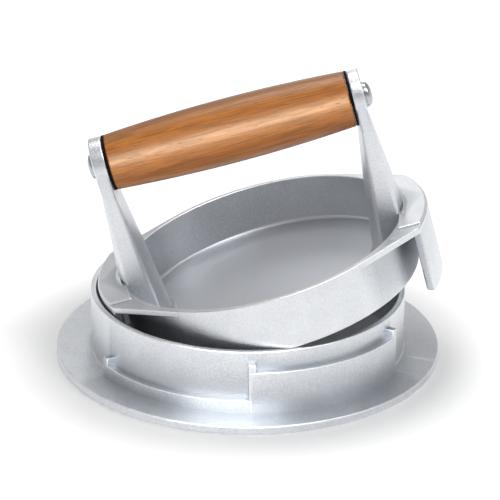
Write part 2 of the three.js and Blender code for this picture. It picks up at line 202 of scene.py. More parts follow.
class PressSizes(bpy.types.PropertyGroup):
    dish_radius: length("Dish radius", 56.6, "Outside radius of the dish")
    dish_height: length("Dish height", 20.5, "Height of the dish")
    dish_wall: length("Dish wall", 2.3, "Thickness of the dish's wall")
    dish_floor: length("Dish floor", 2, "Thickness of the dish's floor")
    bottom_round: length("Bottom round", 0.7, "Round of the dish's outer bottom edge")
    inner_fillet: length("Inner fillet", 1.4, "Fillet between the dish's floor and wall")
    lobe_thickness: length("Lobe thickness", 2.4, "Thickness of the plates beside the dish")
    lobe_rise: length("Lobe rise", 0.8, "How far the middle of a lobe stands over the rim")
    lobe_corner: length("Lobe corner", 3, "Round of a lobe's two corners")
    edge: length("Edge round", 0.35, "Round of the press's cast edges")
    tab_inside: length("Tab inside", 61.1, "Inside radius of the hanging tabs")
    tab_thickness: length("Tab thickness", 3.4, "Thickness of the hanging tabs")
    tab_drop: length("Tab drop", 6.2, "How far the tabs hang below the dish")
    tab_round: length("Tab round", 4.5, "Round of a tab's lower corners")
    tab_half: angle("Tab half angle", 24.5, "Half of the angle that a tab spans")
    rise_half: length("Rise half width", 24, "Half of the width of a lobe's rise")
    waist_half: length("Waist half width", 11, "Half of the width where a rise meets its post")
    rise_overhang: length("Rise overhang", 1.5, "How far a rise stands into the dish beside its post")
    rise_edge: length("Rise edge", 0.6, "Round of a rise's edges")
    rise_taper: length("Rise taper", 2, "How far the inner edge of a rise draws back at its ends")
    bolt_height: length("Bolt height", 66.3, "Height of the through bolt over the dish's underside")
    lug_radius: length("Lug radius", 10.48, "Radius of the lug eyes")
    lug_inside: length("Lug inside", 47, "Distance from the middle to a lug's inner face")
    lug_thickness: length("Lug thickness", 4.4, "Thickness of the lug eyes")
    left_extra: length("Left lug extra", 0.7, "How much thicker the left lug is than the right one")
    lug_edge: length("Lug edge", 0.6, "Round of the lug eyes' edges")
    post_base: length("Post base", 24, "Width of a post at its foot")
    post_edge: length("Post edge", 1.3, "Round of a post's four edges")
    post_outer: length("Outer spread", 1.9, "How far a post's outer face leans out at its foot")
    post_inner: length("Inner spread", 4.1, "How far a post's inner face leans in at its foot")
    outer_bulge: length("Outer bulge", 4.3, "How far a post's outer face bellies at its foot")
    inner_bulge: length("Inner bulge", 3.3, "How far a post's inner face bellies at its foot")
    foot_fillet: length("Foot fillet", 1.5, "Flare where a post meets the floor and the lobe")
    hole: length("Bolt hole", 3.5, "Radius of the bolt holes")


class GripSizes(bpy.types.PropertyGroup):
    half: length("Half length", 46, "Half of the grip's length")
    end_radius: length("End radius", 10.5, "Radius of the grip's ends")
    middle_radius: length("Middle radius", 12.2, "Radius of the grip's middle")
    end_edge: length("End round", 0.5, "Round of the grip's ends")
    washer: length("Washer", 0.94, "Thickness of the black washers")
    washer_edge: length("Washer round", 0.15, "Round of the black washers' edges")
    head_radius: length("Head radius", 4.7, "Radius of the bolt heads")
    head_height: length("Head height", 2.7, "Height of the bolt heads")
    head_rim: length("Head rim", 0.5, "Height of the straight rim of a head")
    head_washer: length("Head washer", 4.9, "Radius of the washers under the heads")
    head_washer_thickness: length("Head washer thickness", 0.5, "Thickness of the washers under the heads")
    head_edge: length("Head round", 0.1, "Round of the heads' and their washers' edges")
    seat: length("Seat gap", 0.3, "Gap between faces that touch on the real thing")
    socket: length("Socket", 4, "Hexagon socket across its flats")
    socket_depth: length("Socket depth", 1.5, "Depth of the hexagon socket")
    sleeve: length("Sleeve radius", 3.1, "Outside radius of the sleeve nut's tube")
    sleeve_bore: length("Sleeve bore", 2.3, "Radius of the sleeve nut's bore")
    sleeve_depth: length("Sleeve depth", 60, "Depth of the sleeve nut's bore")
    thread: length("Thread length", 42, "How far the screw's core reaches into the grip")


class Finishes(bpy.types.PropertyGroup):
    aluminium: colour("Aluminium", "#eceef1", "Cast aluminium, blasted and tumbled")
    # The darker grey of the grain's specks, and painted shade in the creases
    aluminium_grain_and_crease_shade: colour("Aluminium, hollows", "#bfc3c8", "Cast aluminium where tumbling doesn't reach")
    # Painted shade: the darker grey that the dish's floor is given
    aluminium_floor_shade: colour("Aluminium, as cast", "#cbced3", "Cast aluminium on the dish's floor")
    wood: colour("Wood", "#8c4f1c", "Oiled hardwood")
    wood_dark: colour("Wood, late rings", "#5e3010", "The darker late wood and pores")
    wood_light: colour("Wood, early rings", "#a8672a", "The paler early wood")
    wood_shine: colour("Wood, shine", "#ffe9c4", "Warm tint of the shine on the oiled fibres")
    fibre: colour("Fibre", "#0d0b0a", "Black vulcanised fibre")
    fibre_worn: colour("Fibre, felted", "#1a1715", "The fibre where its felt catches light")
    zinc: colour("Zinc", "#b9bdc2", "Zinc-plated steel")
    floor: colour("Floor", "#f6f6f6", "Paper floor of the studio")


# Places

def middle(node):
    """The middle of a node's box at rest."""
    low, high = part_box(node)
    return (low + high) / 2


def ring_place():
    """The ring's axis on the table."""
    centre = middle("mold_ring")
    return Matrix.Translation((centre.x, centre.y, 0))


def press_place(sizes):
    """The leaning press: X along its bolt, and its origin on the dish's underside."""
    left, right = middle("left_head_washer"), middle("right_head_washer")
    along = (right - left).normalized()
    across = Vector((0, 1, 0))
    up = along.cross(across)
    origin = (left + right) / 2 - up * sizes.bolt_height
    return Matrix.Translation(origin) @ Matrix((along, across, up)).transposed().to_4x4()


# Mesh helpers

def merged(bm):
    """The mesh with its doubled points merged and its faces turned outwards."""
    bmesh.ops.remove_doubles(bm, verts=bm.verts, dist=MERGE_REACH)
    bmesh.ops.recalc_face_normals(bm, faces=bm.faces)
    return bm


def joined(parts):
    """One mesh from several, each freed."""
    whole = bmesh.new()
    for part in parts:
        mesh = bpy.data.meshes.new("part")
        part.to_mesh(mesh)
        part.free()
        whole.from_mesh(mesh)
        bpy.data.meshes.remove(mesh)
    return whole


def profile(bm, corners, axis):
    """A flat face from corners of radius, height and round, the rounds made by bevels."""
    places = [Vector((r, 0, h)) if axis == "Z" else Vector((h, 0, r)) for r, h, _ in corners]
    verts = [bm.verts.new(p) for p in places]
    bm.faces.new(verts)
    rounds = {}
    for vert, (_, _, size) in zip(verts, corners):
        if size:
            rounds.setdefault(size, []).append(vert)
    for size, group in rounds.items():
        bmesh.ops.bevel(
            bm, geom=group, offset=size, offset_type="OFFSET", segments=BEVEL_STEPS,
            profile=0.5, affect="VERTICES", clamp_overlap=False, material=-1,
        )


def turned(corners, steps, axis="Z"):
    """A closed profile turned all the way round an axis."""
    bm = bmesh.new()
    profile(bm, corners, axis)
    bmesh.ops.delete(bm, geom=bm.faces[:], context="FACES_ONLY")
    direction = (0, 0, 1) if axis == "Z" else (1, 0, 0)
    bmesh.ops.spin(
        bm, geom=bm.verts[:] + bm.edges[:], cent=(0, 0, 0), axis=direction,
        angle=FULL_TURN, steps=steps, use_merge=True,
    )
    return merged(bm)


def ring_shape(inner, outer, low, high, edge=0, steps=ROUND_STEPS, axis="Z"):
    """A ring, or a disc where the inner radius is 0, with its outer edges rounded."""
    return turned([(inner, low, 0), (outer, low, edge), (outer, high, edge), (inner, high, 0)], steps, axis)


def sector(inner, outer, low, high, start, end):
    """A block between two radii, two heights and two angles."""
    bm = bmesh.new()
    profile(bm, [(inner, low, 0), (outer, low, 0), (outer, high, 0), (inner, high, 0)], "Z")
    bmesh.ops.rotate(bm, verts=bm.verts, cent=(0, 0, 0), matrix=Matrix.Rotation(start, 3, "Z"))
    steps = max(3, round(ROUND_STEPS * (end - start) / FULL_TURN))
    bmesh.ops.spin(
        bm, geom=bm.verts[:] + bm.edges[:] + bm.faces[:], cent=(0, 0, 0), axis=(0, 0, 1),
        angle=end - start, steps=steps,
    )
    return merged(bm)


def rounded(bm, edges, size, segments=BEVEL_STEPS):
    """Rounds the given edges."""
    bmesh.ops.bevel(
        bm, geom=edges, offset=size, offset_type="OFFSET", segments=segments,
        profile=0.5, affect="EDGES", clamp_overlap=True, material=-1,
    )


def sharp_edges(bm):
    """The edges whose two faces meet sharply."""
    return [e for e in bm.edges if e.is_manifold and e.calc_face_angle() > SHARP_ANGLE]


def made_object(name, bm, material=None):
    """An object from a mesh, which is freed."""
    mesh = bpy.data.meshes.new(name)
    bm.to_mesh(mesh)
    bm.free()
    made = bpy.data.objects.new(name, mesh)
    bpy.context.scene.collection.objects.link(made)
    if material:
        mesh.materials.append(material)
    return made


def applied(made):
    """The object's mesh as its modifiers leave it."""
    graph = bpy.context.evaluated_depsgraph_get()
    mesh = bpy.data.meshes.new_from_object(made.evaluated_get(graph))
    made.modifiers.clear()
    old = made.data
    made.data = mesh
    bpy.data.meshes.remove(old)
    mesh.name = made.name


def combined(bm, other, operation):
    """One closed skin from two shapes: their union, their overlap, or the first less the second."""
    body, tool = made_object("body", bm), made_object("tool", other)
    step = body.modifiers.new("Combined", "BOOLEAN")
    step.operation = operation
    step.solver = "EXACT"
    step.use_self = True
    step.object = tool
    applied(body)
    made = bmesh.new()
    made.from_mesh(body.data)
    for used in (body, tool):
        mesh = used.data
        bpy.data.objects.remove(used)
        bpy.data.meshes.remove(mesh)
    return made


def finished(name, bm, material):
    """An object whose rounds shade smoothly and whose flat faces stay flat."""
    bmesh.ops.dissolve_degenerate(bm, edges=bm.edges, dist=SLIVER)
    made = made_object(name, bm, material)
    made.data.shade_smooth()
    made.data.set_sharp_from_angle(angle=SHARP_ANGLE)
    flat = made.modifiers.new("Flat faces", "WEIGHTED_NORMAL")
    flat.keep_sharp = True
    applied(made)
    return made


# Nodes of the materials

def node(tree, kind, inputs=(), **settings):
    """Adds a node with its settings, values and links."""
    made = tree.nodes.new(kind)
    for key, value in settings.items():
        setattr(made, key, value)
    for key, value in dict(inputs).items():
        if isinstance(value, bpy.types.NodeSocket):
            tree.links.new(value, made.inputs[key])
        else:
            made.inputs[key].default_value = value
    return made


def new_material(name):
    """A new material, its empty tree and its Object coordinates."""
    material = bpy.data.materials.new(name)
    material.use_nodes = True
    tree = material.node_tree
    tree.nodes.clear()
    place = node(tree, "ShaderNodeTexCoord").outputs["Object"]
    return material, tree, place


def close(tree, shader):
    node(tree, "ShaderNodeOutputMaterial", {"Surface": shader.outputs[0]})


def painted_floor_shade(tree, place, sizes):
    """1 on the dish's floor, which is painted darker as shade, falling to 0 up its wall."""
    level = press_place(sizes).inverted()
    local = node(tree, "ShaderNodeMapping", {
        "Vector": place, "Location": level.translation, "Rotation": level.to_euler(),
    }).outputs["Vector"]
    flat = node(tree, "ShaderNodeVectorMath", {0: local, 1: (1, 1, 0)}, operation="MULTIPLY")
    reach = node(tree, "ShaderNodeVectorMath", {0: flat.outputs[0]}, operation="LENGTH").outputs["Value"]
    inside = sizes.dish_radius - sizes.dish_wall
    near = node(tree, "ShaderNodeMath", {0: reach, 1: inside + FLOOR_SHADE_REACH}, operation="LESS_THAN").outputs[0]
    low = node(tree, "ShaderNodeMapRange", {
        "Value": node(tree, "ShaderNodeSeparateXYZ", {0: local}).outputs["Z"],
        "From Min": sizes.dish_floor + FLOOR_SHADE_FADE_LOW, "From Max": sizes.dish_floor + FLOOR_SHADE_FADE_HIGH,
        "To Min": 1.0, "To Max": 0.0,
    }, clamp=True, interpolation_type="SMOOTHSTEP").outputs["Result"]
    return node(tree, "ShaderNodeMath", {0: near, 1: low}, operation="MULTIPLY").outputs[0]


def cast_aluminium(name, finishes, dish=None):
    """Sand-blasted, tumbled cast aluminium: an even grey with a fine grain, its edges brighter as wear and
    painted highlight, and its creases darker as painted shade.
    """
    material, tree, place = new_material(name)
    grain = node(tree, "ShaderNodeTexNoise", {"Vector": place, "Scale": 1 / CAST_GRAIN, "Detail": 2.0})
    mottle = node(tree, "ShaderNodeTexNoise", {"Vector": place, "Scale": 1 / CAST_MOTTLE, "Detail": 4.0})
    flow = node(tree, "ShaderNodeTexNoise", {"Vector": place, "Scale": 1 / CAST_FLOW, "Detail": 1.0})
    # Pointiness: edges brighter, partly as wear and partly as painted highlight; creases darker as painted
    # shade
    wear_sheen_and_crease_shade = node(tree, "ShaderNodeMapRange", {
        "Value": node(tree, "ShaderNodeNewGeometry").outputs["Pointiness"],
        "From Min": 0.46, "From Max": 0.54,
    }, clamp=True)
    shade = node(tree, "ShaderNodeMapRange", {
        "Value": mottle.outputs["Fac"], **NOISE_RANGE, "To Min": -0.08, "To Max": 0.08,
    })
    speck = node(tree, "ShaderNodeMapRange", {
        "Value": grain.outputs["Fac"], **NOISE_RANGE, "To Min": -0.22, "To Max": 0.18,
    })
    varied = node(tree, "ShaderNodeMath", {0: shade.outputs["Result"], 1: speck.outputs["Result"]})
    share = node(tree, "ShaderNodeMath", {
        0: wear_sheen_and_crease_shade.outputs["Result"], 1: varied.outputs[0],
    }, operation="ADD", use_clamp=True)
    base = node(tree, "ShaderNodeMix", {
        0: share.outputs[0], 6: finishes.aluminium_grain_and_crease_shade, 7: finishes.aluminium,
    }, data_type="RGBA")
    # On the press, the dish's floor is painted darker as shade
    if dish:
        base = node(tree, "ShaderNodeMix", {
            0: painted_floor_shade(tree, place, dish), 6: base.outputs[2], 7: finishes.aluminium_floor_shade,
        }, data_type="RGBA")
    rough = node(tree, "ShaderNodeMapRange", {
        "Value": grain.outputs["Fac"], **NOISE_RANGE, "To Min": 0.32, "To Max": 0.44,
    })
    waves = node(tree, "ShaderNodeBump", {
        "Height": flow.outputs["Fac"], "Strength": 0.25, "Distance": 0.25 * MM,
    })
    bump = node(tree, "ShaderNodeBump", {
        "Height": grain.outputs["Fac"], "Strength": 0.8, "Distance": 0.09 * MM,
        "Normal": waves.outputs["Normal"],
    })
    close(tree, node(tree, "ShaderNodeBsdfPrincipled", {
        "Base Color": base.outputs[2], "Metallic": 1.0, "Roughness": rough.outputs["Result"],
        "Normal": bump.outputs["Normal"],
    }))
    return material


def oiled_wood(finishes, place_matrix):
    """Oiled hardwood: pores and streaks run along the grip, with a warm shine under a thin film of oil."""
    material, tree, place = new_material("oiled_hardwood")
    turn = place_matrix.to_euler()
    straight = node(tree, "ShaderNodeMapping", {
        "Vector": place, "Rotation": (-turn.x, -turn.y, -turn.z),
    }, vector_type="POINT").outputs["Vector"]
    stretched = node(tree, "ShaderNodeMapping", {
        "Vector": straight, "Scale": (STREAK_SHARE, 1, 1),
    }).outputs["Vector"]
    rings = node(tree, "ShaderNodeTexNoise", {
        "Vector": stretched, "Scale": 1 / WOOD_RINGS, "Detail": 3.0, "Distortion": 0.4,
    })
    fibres = node(tree, "ShaderNodeTexNoise", {"Vector": stretched, "Scale": 1 / WOOD_FIBRES, "Detail": 3.0})
    drawn_out = node(tree, "ShaderNodeMapping", {
        "Vector": straight, "Scale": (PORE_SHARE, 1, 1),
    }).outputs["Vector"]
    pores = node(tree, "ShaderNodeTexVoronoi", {
        "Vector": drawn_out, "Scale": 1 / WOOD_PORES, "Randomness": 1.0,
    })
    pore = node(tree, "ShaderNodeMapRange", {
        "Value": pores.outputs["Distance"], "From Min": 0.05, "From Max": 0.28,
        "To Min": 1.0, "To Max": 0.0,
    }, clamp=True)
    ring_share = node(tree, "ShaderNodeMapRange", {
        "Value": rings.outputs["Fac"], "From Min": 0.35, "From Max": 0.68,
    }, clamp=True)
    ground = node(tree, "ShaderNodeMix", {
        0: ring_share.outputs["Result"], 6: finishes.wood, 7: finishes.wood_light,
    }, data_type="RGBA")
    fibre_share = node(tree, "ShaderNodeMapRange", {
        "Value": fibres.outputs["Fac"], "From Min": 0.42, "From Max": 0.66, "To Max": 0.65,
    }, clamp=True)
    streaked = node(tree, "ShaderNodeMix", {
        0: fibre_share.outputs["Result"], 6: ground.outputs[2], 7: finishes.wood_dark,
    }, data_type="RGBA")
    pore_share = node(tree, "ShaderNodeMath", {0: pore.outputs["Result"], 1: 0.6}, operation="MULTIPLY")
    pored = node(tree, "ShaderNodeMix", {
        0: pore_share.outputs[0], 6: streaked.outputs[2], 7: finishes.wood_dark,
    }, data_type="RGBA")
    rough = node(tree, "ShaderNodeMapRange", {
        "Value": fibres.outputs["Fac"], **NOISE_RANGE, "To Min": 0.36, "To Max": 0.46,
    })
    relief = node(tree, "ShaderNodeMath", {
        0: fibres.outputs["Fac"], 1: pore.outputs["Result"],
    }, operation="SUBTRACT")
    bump = node(tree, "ShaderNodeBump", {
        "Height": relief.outputs[0], "Strength": 0.5, "Distance": 0.1 * MM,
    })
    close(tree, node(tree, "ShaderNodeBsdfPrincipled", {
        "Base Color": pored.outputs[2], "Roughness": rough.outputs["Result"], "IOR": 1.5,
        "Specular IOR Level": 1.0, "Specular Tint": finishes.wood_shine,
        "Coat Weight": 0.15, "Coat Roughness": 0.3, "Normal": bump.outputs["Normal"],
    }))
    return material


def black_fibre(finishes):
    """Vulcanised fibre: matt, near black, with a felted edge."""
    material, tree, place = new_material("vulcanised_fibre")
    felt = node(tree, "ShaderNodeTexNoise", {"Vector": place, "Scale": 1 / WASHER_FELT, "Detail": 3.0})
    shade = node(tree, "ShaderNodeMix", {
        0: felt.outputs["Fac"], 6: finishes.fibre, 7: finishes.fibre_worn,
    }, data_type="RGBA")
    bump = node(tree, "ShaderNodeBump", {
        "Height": felt.outputs["Fac"], "Strength": 0.4, "Distance": 0.05 * MM,
    })
    close(tree, node(tree, "ShaderNodeBsdfPrincipled", {
        "Base Color": shade.outputs[2], "Roughness": 0.8, "Specular IOR Level": 0.25,
        "Normal": bump.outputs["Normal"],
    }))
    return material


def zinc_steel(finishes):
    """Zinc-plated steel: bright, slightly blue grey, with a faint orange peel from the plating."""
    material, tree, place = new_material("zinc_plated_steel")
    peel = node(tree, "ShaderNodeTexNoise", {"Vector": place, "Scale": 1 / ZINC_PEEL, "Detail": 2.0})
    rough = node(tree, "ShaderNodeMapRange", {
        "Value": peel.outputs["Fac"], **NOISE_RANGE, "To Min": 0.18, "To Max": 0.3,
    })
    bump = node(tree, "ShaderNodeBump", {
        "Height": peel.outputs["Fac"], "Strength": 0.2, "Distance": 0.01 * MM,
    })
    close(tree, node(tree, "ShaderNodeBsdfPrincipled", {
        "Base Color": finishes.zinc, "Metallic": 1.0, "Roughness": rough.outputs["Result"],
        "Normal": bump.outputs["Normal"],
    }))
    return material


def any_of(tree, path, names):
    """1 where a ray is one of the named kinds."""
    seen = path.outputs[names[0]]
    for name in names[1:]:
        either = node(tree, "ShaderNodeMath", {0: seen, 1: path.outputs[name]}, operation="MAXIMUM")
        seen = either.outputs[0]
    return seen


def white_paper(finishes):
    """Seamless studio paper: matt and white, with a glow that fades towards the ring as painted shadow and is
    gone under it.
    """
    material, tree, place = new_material("studio_paper")
    path = node(tree, "ShaderNodeLightPath")
    seen = any_of(tree, path, ["Is Camera Ray", "Is Glossy Ray", "Is Transmission Ray"])
    reach = node(tree, "ShaderNodeVectorMath", {
        0: place, 1: ring_place().translation,
    }, operation="DISTANCE").outputs["Value"]
    # Painted shadow: the glow fades out towards the ring's axis
    glow_past_painted_shadow = node(tree, "ShaderNodeMapRange", {
        "Value": reach, "From Min": SHADOW_NEAR, "From Max": SHADOW_FAR, "To Max": PAPER_GLOW,
    }, clamp=True, interpolation_type="SMOOTHSTEP")
    glow = node(tree, "ShaderNodeMath", {0: seen, 1: glow_past_painted_shadow.outputs["Result"]}, operation="MULTIPLY")
    paper = node(tree, "ShaderNodeBsdfDiffuse", {"Color": finishes.floor})
    light = node(tree, "ShaderNodeEmission", {"Color": (1, 1, 1, 1), "Strength": glow.outputs[0]})
    close(tree, node(tree, "ShaderNodeAddShader", {0: paper.outputs[0], 1: light.outputs[0]}))
    return material


# Pieces

def pad_steps(sizes):
    """Start angle, end angle, top and count of set-backs of each pad, nub and rib of one half."""
    centre = sizes.turn - math.pi / 2
    first, last = centre - sizes.pad_angle, centre + sizes.pad_angle
    nub = sizes.nub / (sizes.bore + sizes.wall + sizes.pad)
    low = sizes.flange_thickness + sizes.low_pad
    high = sizes.flange_thickness + sizes.high_pad
    return [
        (first, centre, low, 0),
        (centre - nub / 3, last, high, 0),
        (first, first + nub, low + sizes.nub, 1),
        (centre - nub / 2, centre + nub / 2, high + sizes.nub, 1),
        (last - nub, last, high + sizes.nub, 1),
    ]


def ring_pad(sizes, turn, start, end, top, set_back):
    """A pad or nub: a block on the outside of the wall, its edges rounded."""
    wall = sizes.bore + sizes.wall / 2
    outside = sizes.bore + sizes.wall + sizes.pad - set_back * NUB_SET_BACK
    bm = sector(wall, outside, sizes.flange_thickness / 2, top, start + turn, end + turn)
    rounded(bm, sharp_edges(bm), sizes.edge * PAD_EDGE_SHARE)
    return merged(bm)


class BURGER_OT_ring(bpy.types.Operator):
    """Builds the forming ring with its flange, depth pads and nubs"""

    bl_idname = "burger.ring"
    bl_label = "Forming ring"

    def execute(self, context):
        sizes, finishes = context.scene.burger_ring, context.scene.burger_finishes
        ring = sizes.bore + sizes.wall
        flange = ring + sizes.flange
        body = turned([
            (sizes.bore, 0, sizes.edge),
            (flange, 0, sizes.edge),
            (flange, sizes.flange_thickness, sizes.edge),
            (ring, sizes.flange_thickness, sizes.fillet),
            (ring, sizes.height, sizes.edge),
            (sizes.bore, sizes.height, sizes.edge),
        ], ROUND_STEPS)
        pads = joined([ring_pad(sizes, turn, *step) for turn in (0, math.pi) for step in pad_steps(sizes)])
        bm = combined(body, pads, "UNION")
        bmesh.ops.transform(bm, matrix=ring_place(), verts=bm.verts)
        made = finished("ring_cast", bm, cast_aluminium("cast_aluminium_ring", finishes))
        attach(made, "ring")
        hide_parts("mold_ring")
        return {"FINISHED"}


def lobe_plate(sizes):
    """The flat plate that carries a tab: an arc joined to the dish's rim by straight sides."""
    outside = sizes.tab_inside + sizes.tab_thickness
    reach = sizes.tab_half + math.acos(sizes.dish_radius / outside)
    inside = sizes.dish_radius - sizes.dish_wall / 2
    top = sizes.dish_height
    bm = sector(inside, outside, top - sizes.lobe_thickness, top, -reach, reach)
    for side in (-1, 1):
        normal = Vector((math.cos(reach), side * math.sin(reach), 0))
        cut = bmesh.ops.bisect_plane(
            bm, geom=bm.verts[:] + bm.edges[:] + bm.faces[:], plane_co=normal * sizes.dish_radius,
            plane_no=normal, clear_outer=True,
        )["geom_cut"]
        rim = [item for item in cut if isinstance(item, bmesh.types.BMEdge)]
        bmesh.ops.holes_fill(bm, edges=rim)
    corner = Vector((outside * math.cos(sizes.tab_half), outside * math.sin(sizes.tab_half)))
    upright = [
        e for e in bm.edges
        if abs(e.verts[0].co.z - e.verts[1].co.z) > sizes.lobe_thickness / 2
        and (Vector((e.verts[0].co.x, abs(e.verts[0].co.y))) - corner).length < CORNER_REACH
    ]
    rounded(bm, upright, sizes.lobe_corner, 2 * BEVEL_STEPS)
    merged(bm)
    rounded(bm, sharp_edges(bm), sizes.edge)
    return merged(bm)


def lobe_rise(sizes):
    """The raised top of a lobe: an arc outside, square ends, and an inner edge that draws back."""
    outer = sizes.tab_inside + sizes.tab_thickness - sizes.edge
    waist = sizes.dish_radius - sizes.dish_wall - sizes.rise_overhang
    half = math.asin(sizes.rise_half / outer)
    arc = [half * (2 * i / ARC_STEPS - 1) for i in range(ARC_STEPS + 1)]
    plan = [
        (waist, sizes.waist_half),
        (waist - sizes.rise_taper, sizes.rise_half),
        *[(outer * math.cos(a), outer * math.sin(a)) for a in reversed(arc)],
        (waist - sizes.rise_taper, -sizes.rise_half),
        (waist, -sizes.waist_half),
    ]
    low = sizes.dish_height - sizes.lobe_thickness / 2
    bm = bmesh.new()
    face = bm.faces.new([bm.verts.new((x, y, low)) for x, y in plan])
    top = bmesh.ops.extrude_face_region(bm, geom=[face])["geom"]
    lift = (0, 0, sizes.dish_height + sizes.lobe_rise - low)
    bmesh.ops.translate(bm, verts=[v for v in top if isinstance(v, bmesh.types.BMVert)], vec=lift)
    merged(bm)
    rounded(bm, sharp_edges(bm), sizes.rise_edge)
    return merged(bm)


def hanging_tab(sizes):
    """A curved wall that hangs from a lobe, its lower corners and all its edges rounded."""
    outside = sizes.tab_inside + sizes.tab_thickness
    top = sizes.dish_height - sizes.lobe_thickness / 2
    bm = sector(sizes.tab_inside, outside, -sizes.tab_drop, top, -sizes.tab_half, sizes.tab_half)
    end = sizes.tab_half - END_REACH
    corners = [
        e for e in bm.edges
        if all(abs(math.atan2(v.co.y, v.co.x)) > end and v.co.z < top / 2 for v in e.verts)
        and abs(e.verts[0].co.z - e.verts[1].co.z) < LEVEL_REACH
    ]
    rounded(bm, corners, sizes.tab_round, 2 * BEVEL_STEPS)
    merged(bm)
    rounded(bm, sharp_edges(bm), sizes.tab_thickness / 4)
    return merged(bm)


def post_section(sizes, height, extra, grow=0):
    """A post's section at one height: straight front and back, bellied sides, rounded corners.

    Its outer face stands out by the lug's extra thickness, and the whole section can grow all round.
    """
    base = sizes.dish_floor / 2
    seat = sizes.bolt_height - sizes.lug_radius
    fall = max(1 - (height - base) / (seat - base), 0)
    ease = math.sqrt(fall)
    half = sizes.lug_radius + (sizes.post_base / 2 - sizes.lug_radius) * fall + grow
    outer = sizes.lug_inside + sizes.lug_thickness + extra * (1 - fall) + sizes.post_outer * ease + grow
    inner = sizes.lug_inside - sizes.post_inner * fall - grow
    flat = half - sizes.post_edge
    across = [(flat * (2 * i / POST_WIDTH_STEPS - 1), 0) for i in range(POST_WIDTH_STEPS + 1)]
    turns = [math.pi / 2 * i / BEVEL_STEPS for i in range(1, BEVEL_STEPS + 1)]
    corner = [(flat + sizes.post_edge * math.sin(a), sizes.post_edge * (1 - math.cos(a))) for a in turns]
    across = [(-y, drop) for y, drop in reversed(corner)] + across + corner
    out = [(outer + sizes.outer_bulge * fall * (1 - (y / half) ** 2) - drop, y) for y, drop in across]
    back = [(inner - sizes.inner_bulge * ease * (1 - (y / half) ** 2) + drop, y) for y, drop in across]
    return [Vector((x, y, height)) for x, y in out + back[::-1]]


def lofted(sections):
    """A closed skin through sections that all have as many points."""
    bm = bmesh.new()
    loops = []
    for section in sections:
        verts = [bm.verts.new(p) for p in section]
        loops.append([bm.edges.new(pair) for pair in zip(verts, verts[1:] + verts[:1])])
    for below, above in zip(loops, loops[1:]):
        bmesh.ops.bridge_loops(bm, edges=below + above)
    for end in (loops[0], loops[-1]):
        bmesh.ops.contextual_create(bm, geom=end)
    return merged(bm)


def post(sizes, extra):
    """A post from the dish's floor to its lug, without what would stand out of the dish's wall."""
    base = sizes.dish_floor / 2
    seat = sizes.bolt_height - sizes.lug_radius
    rises = [1 - (1 - i / POST_STEPS) ** POST_CROWDING for i in range(POST_STEPS + 1)]
    levels = [base + (seat - base) * rise for rise in rises]
    shaft = lofted([post_section(sizes, z, extra) for z in (*levels, sizes.bolt_height)])
    wall = sizes.dish_radius - sizes.dish_wall / 2
    rim = sizes.dish_height - sizes.lobe_thickness
    return combined(shaft, ring_shape(wall, 2 * wall, -wall, rim), "DIFFERENCE")


def post_foot(sizes, extra, level, space):
    """The flare where a post meets a level face, cropped to the space over that face."""
    size = sizes.foot_fillet
    sections = [
        post_section(sizes, level + share * size, extra, size * (1 - max(share, 0)) ** 2)
        for share in FLARE_SHARES
    ]
    return combined(lofted(sections), space, "INTERSECT")


def press_side(sizes, extra):
    """Lobe, rise, tab, post, its two feet and its lug, at the right end, the lug thicker by the extra."""
    wall = sizes.dish_radius - sizes.dish_wall / 2
    floor = sizes.dish_floor / 2
    top = sizes.dish_height
    outer = sizes.lug_inside + sizes.lug_thickness + extra
    lug = ring_shape(0, sizes.lug_radius, sizes.lug_inside, outer, sizes.lug_edge, GRIP_STEPS, "X")
    bmesh.ops.translate(lug, verts=lug.verts, vec=(0, 0, sizes.bolt_height))
    in_dish = ring_shape(0, wall, floor, top)
    over_lobe = ring_shape(wall, 2 * wall, top, 2 * top)
    return joined([
        lobe_plate(sizes),
        lobe_rise(sizes),
        hanging_tab(sizes),
        post(sizes, extra),
        post_foot(sizes, extra, sizes.dish_floor, in_dish),
        post_foot(sizes, extra, top + sizes.lobe_rise, over_lobe),
        lug,
    ])


class BURGER_OT_press(bpy.types.Operator):
    """Builds the press casting: dish, lobes, hanging tabs, posts and lug eyes"""

    bl_idname = "burger.press"
    bl_label = "Press casting"

    def execute(self, context):
        sizes, finishes = context.scene.burger_press, context.scene.burger_finishes
        inside = sizes.dish_radius - sizes.dish_wall
        dish = turned([
            (0, 0, 0),
            (sizes.dish_radius, 0, sizes.bottom_round),
            (sizes.dish_radius, sizes.dish_height, sizes.edge),
            (inside, sizes.dish_height, sizes.edge),
            (inside, sizes.dish_floor, sizes.inner_fillet),
            (0, sizes.dish_floor, 0),
        ], ROUND_STEPS)
        right, left = press_side(sizes, 0), press_side(sizes, sizes.left_extra)
        bmesh.ops.rotate(left, verts=left.verts, cent=(0, 0, 0), matrix=Matrix.Rotation(math.pi, 3, "Z"))
        whole = combined(dish, joined([right, left]), "UNION")
        reach = 2 * sizes.lug_inside
        hole = ring_shape(0, sizes.hole, -reach, reach, 0, HEAD_STEPS, "X")
        bmesh.ops.translate(hole, verts=hole.verts, vec=(0, 0, sizes.bolt_height))
        bm = combined(whole, hole, "DIFFERENCE")
        bmesh.ops.transform(bm, matrix=press_place(sizes), verts=bm.verts)
        made = finished("press_cast", bm, cast_aluminium("cast_aluminium_press", finishes, sizes))
        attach(made, "press")
        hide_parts("press_casting")
        return {"FINISHED"}


def small_piece(context, name, bm, material, node_name):
    """A turned piece of the grip set, put on the bolt's axis, that rides with the press."""
    sizes = context.scene.burger_press
    bmesh.ops.translate(bm, verts=bm.verts, vec=(0, 0, sizes.bolt_height))
    bmesh.ops.transform(bm, matrix=press_place(sizes), verts=bm.verts)
    made = finished(name, bm, material)
    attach(made, "press")
    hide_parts(node_name)


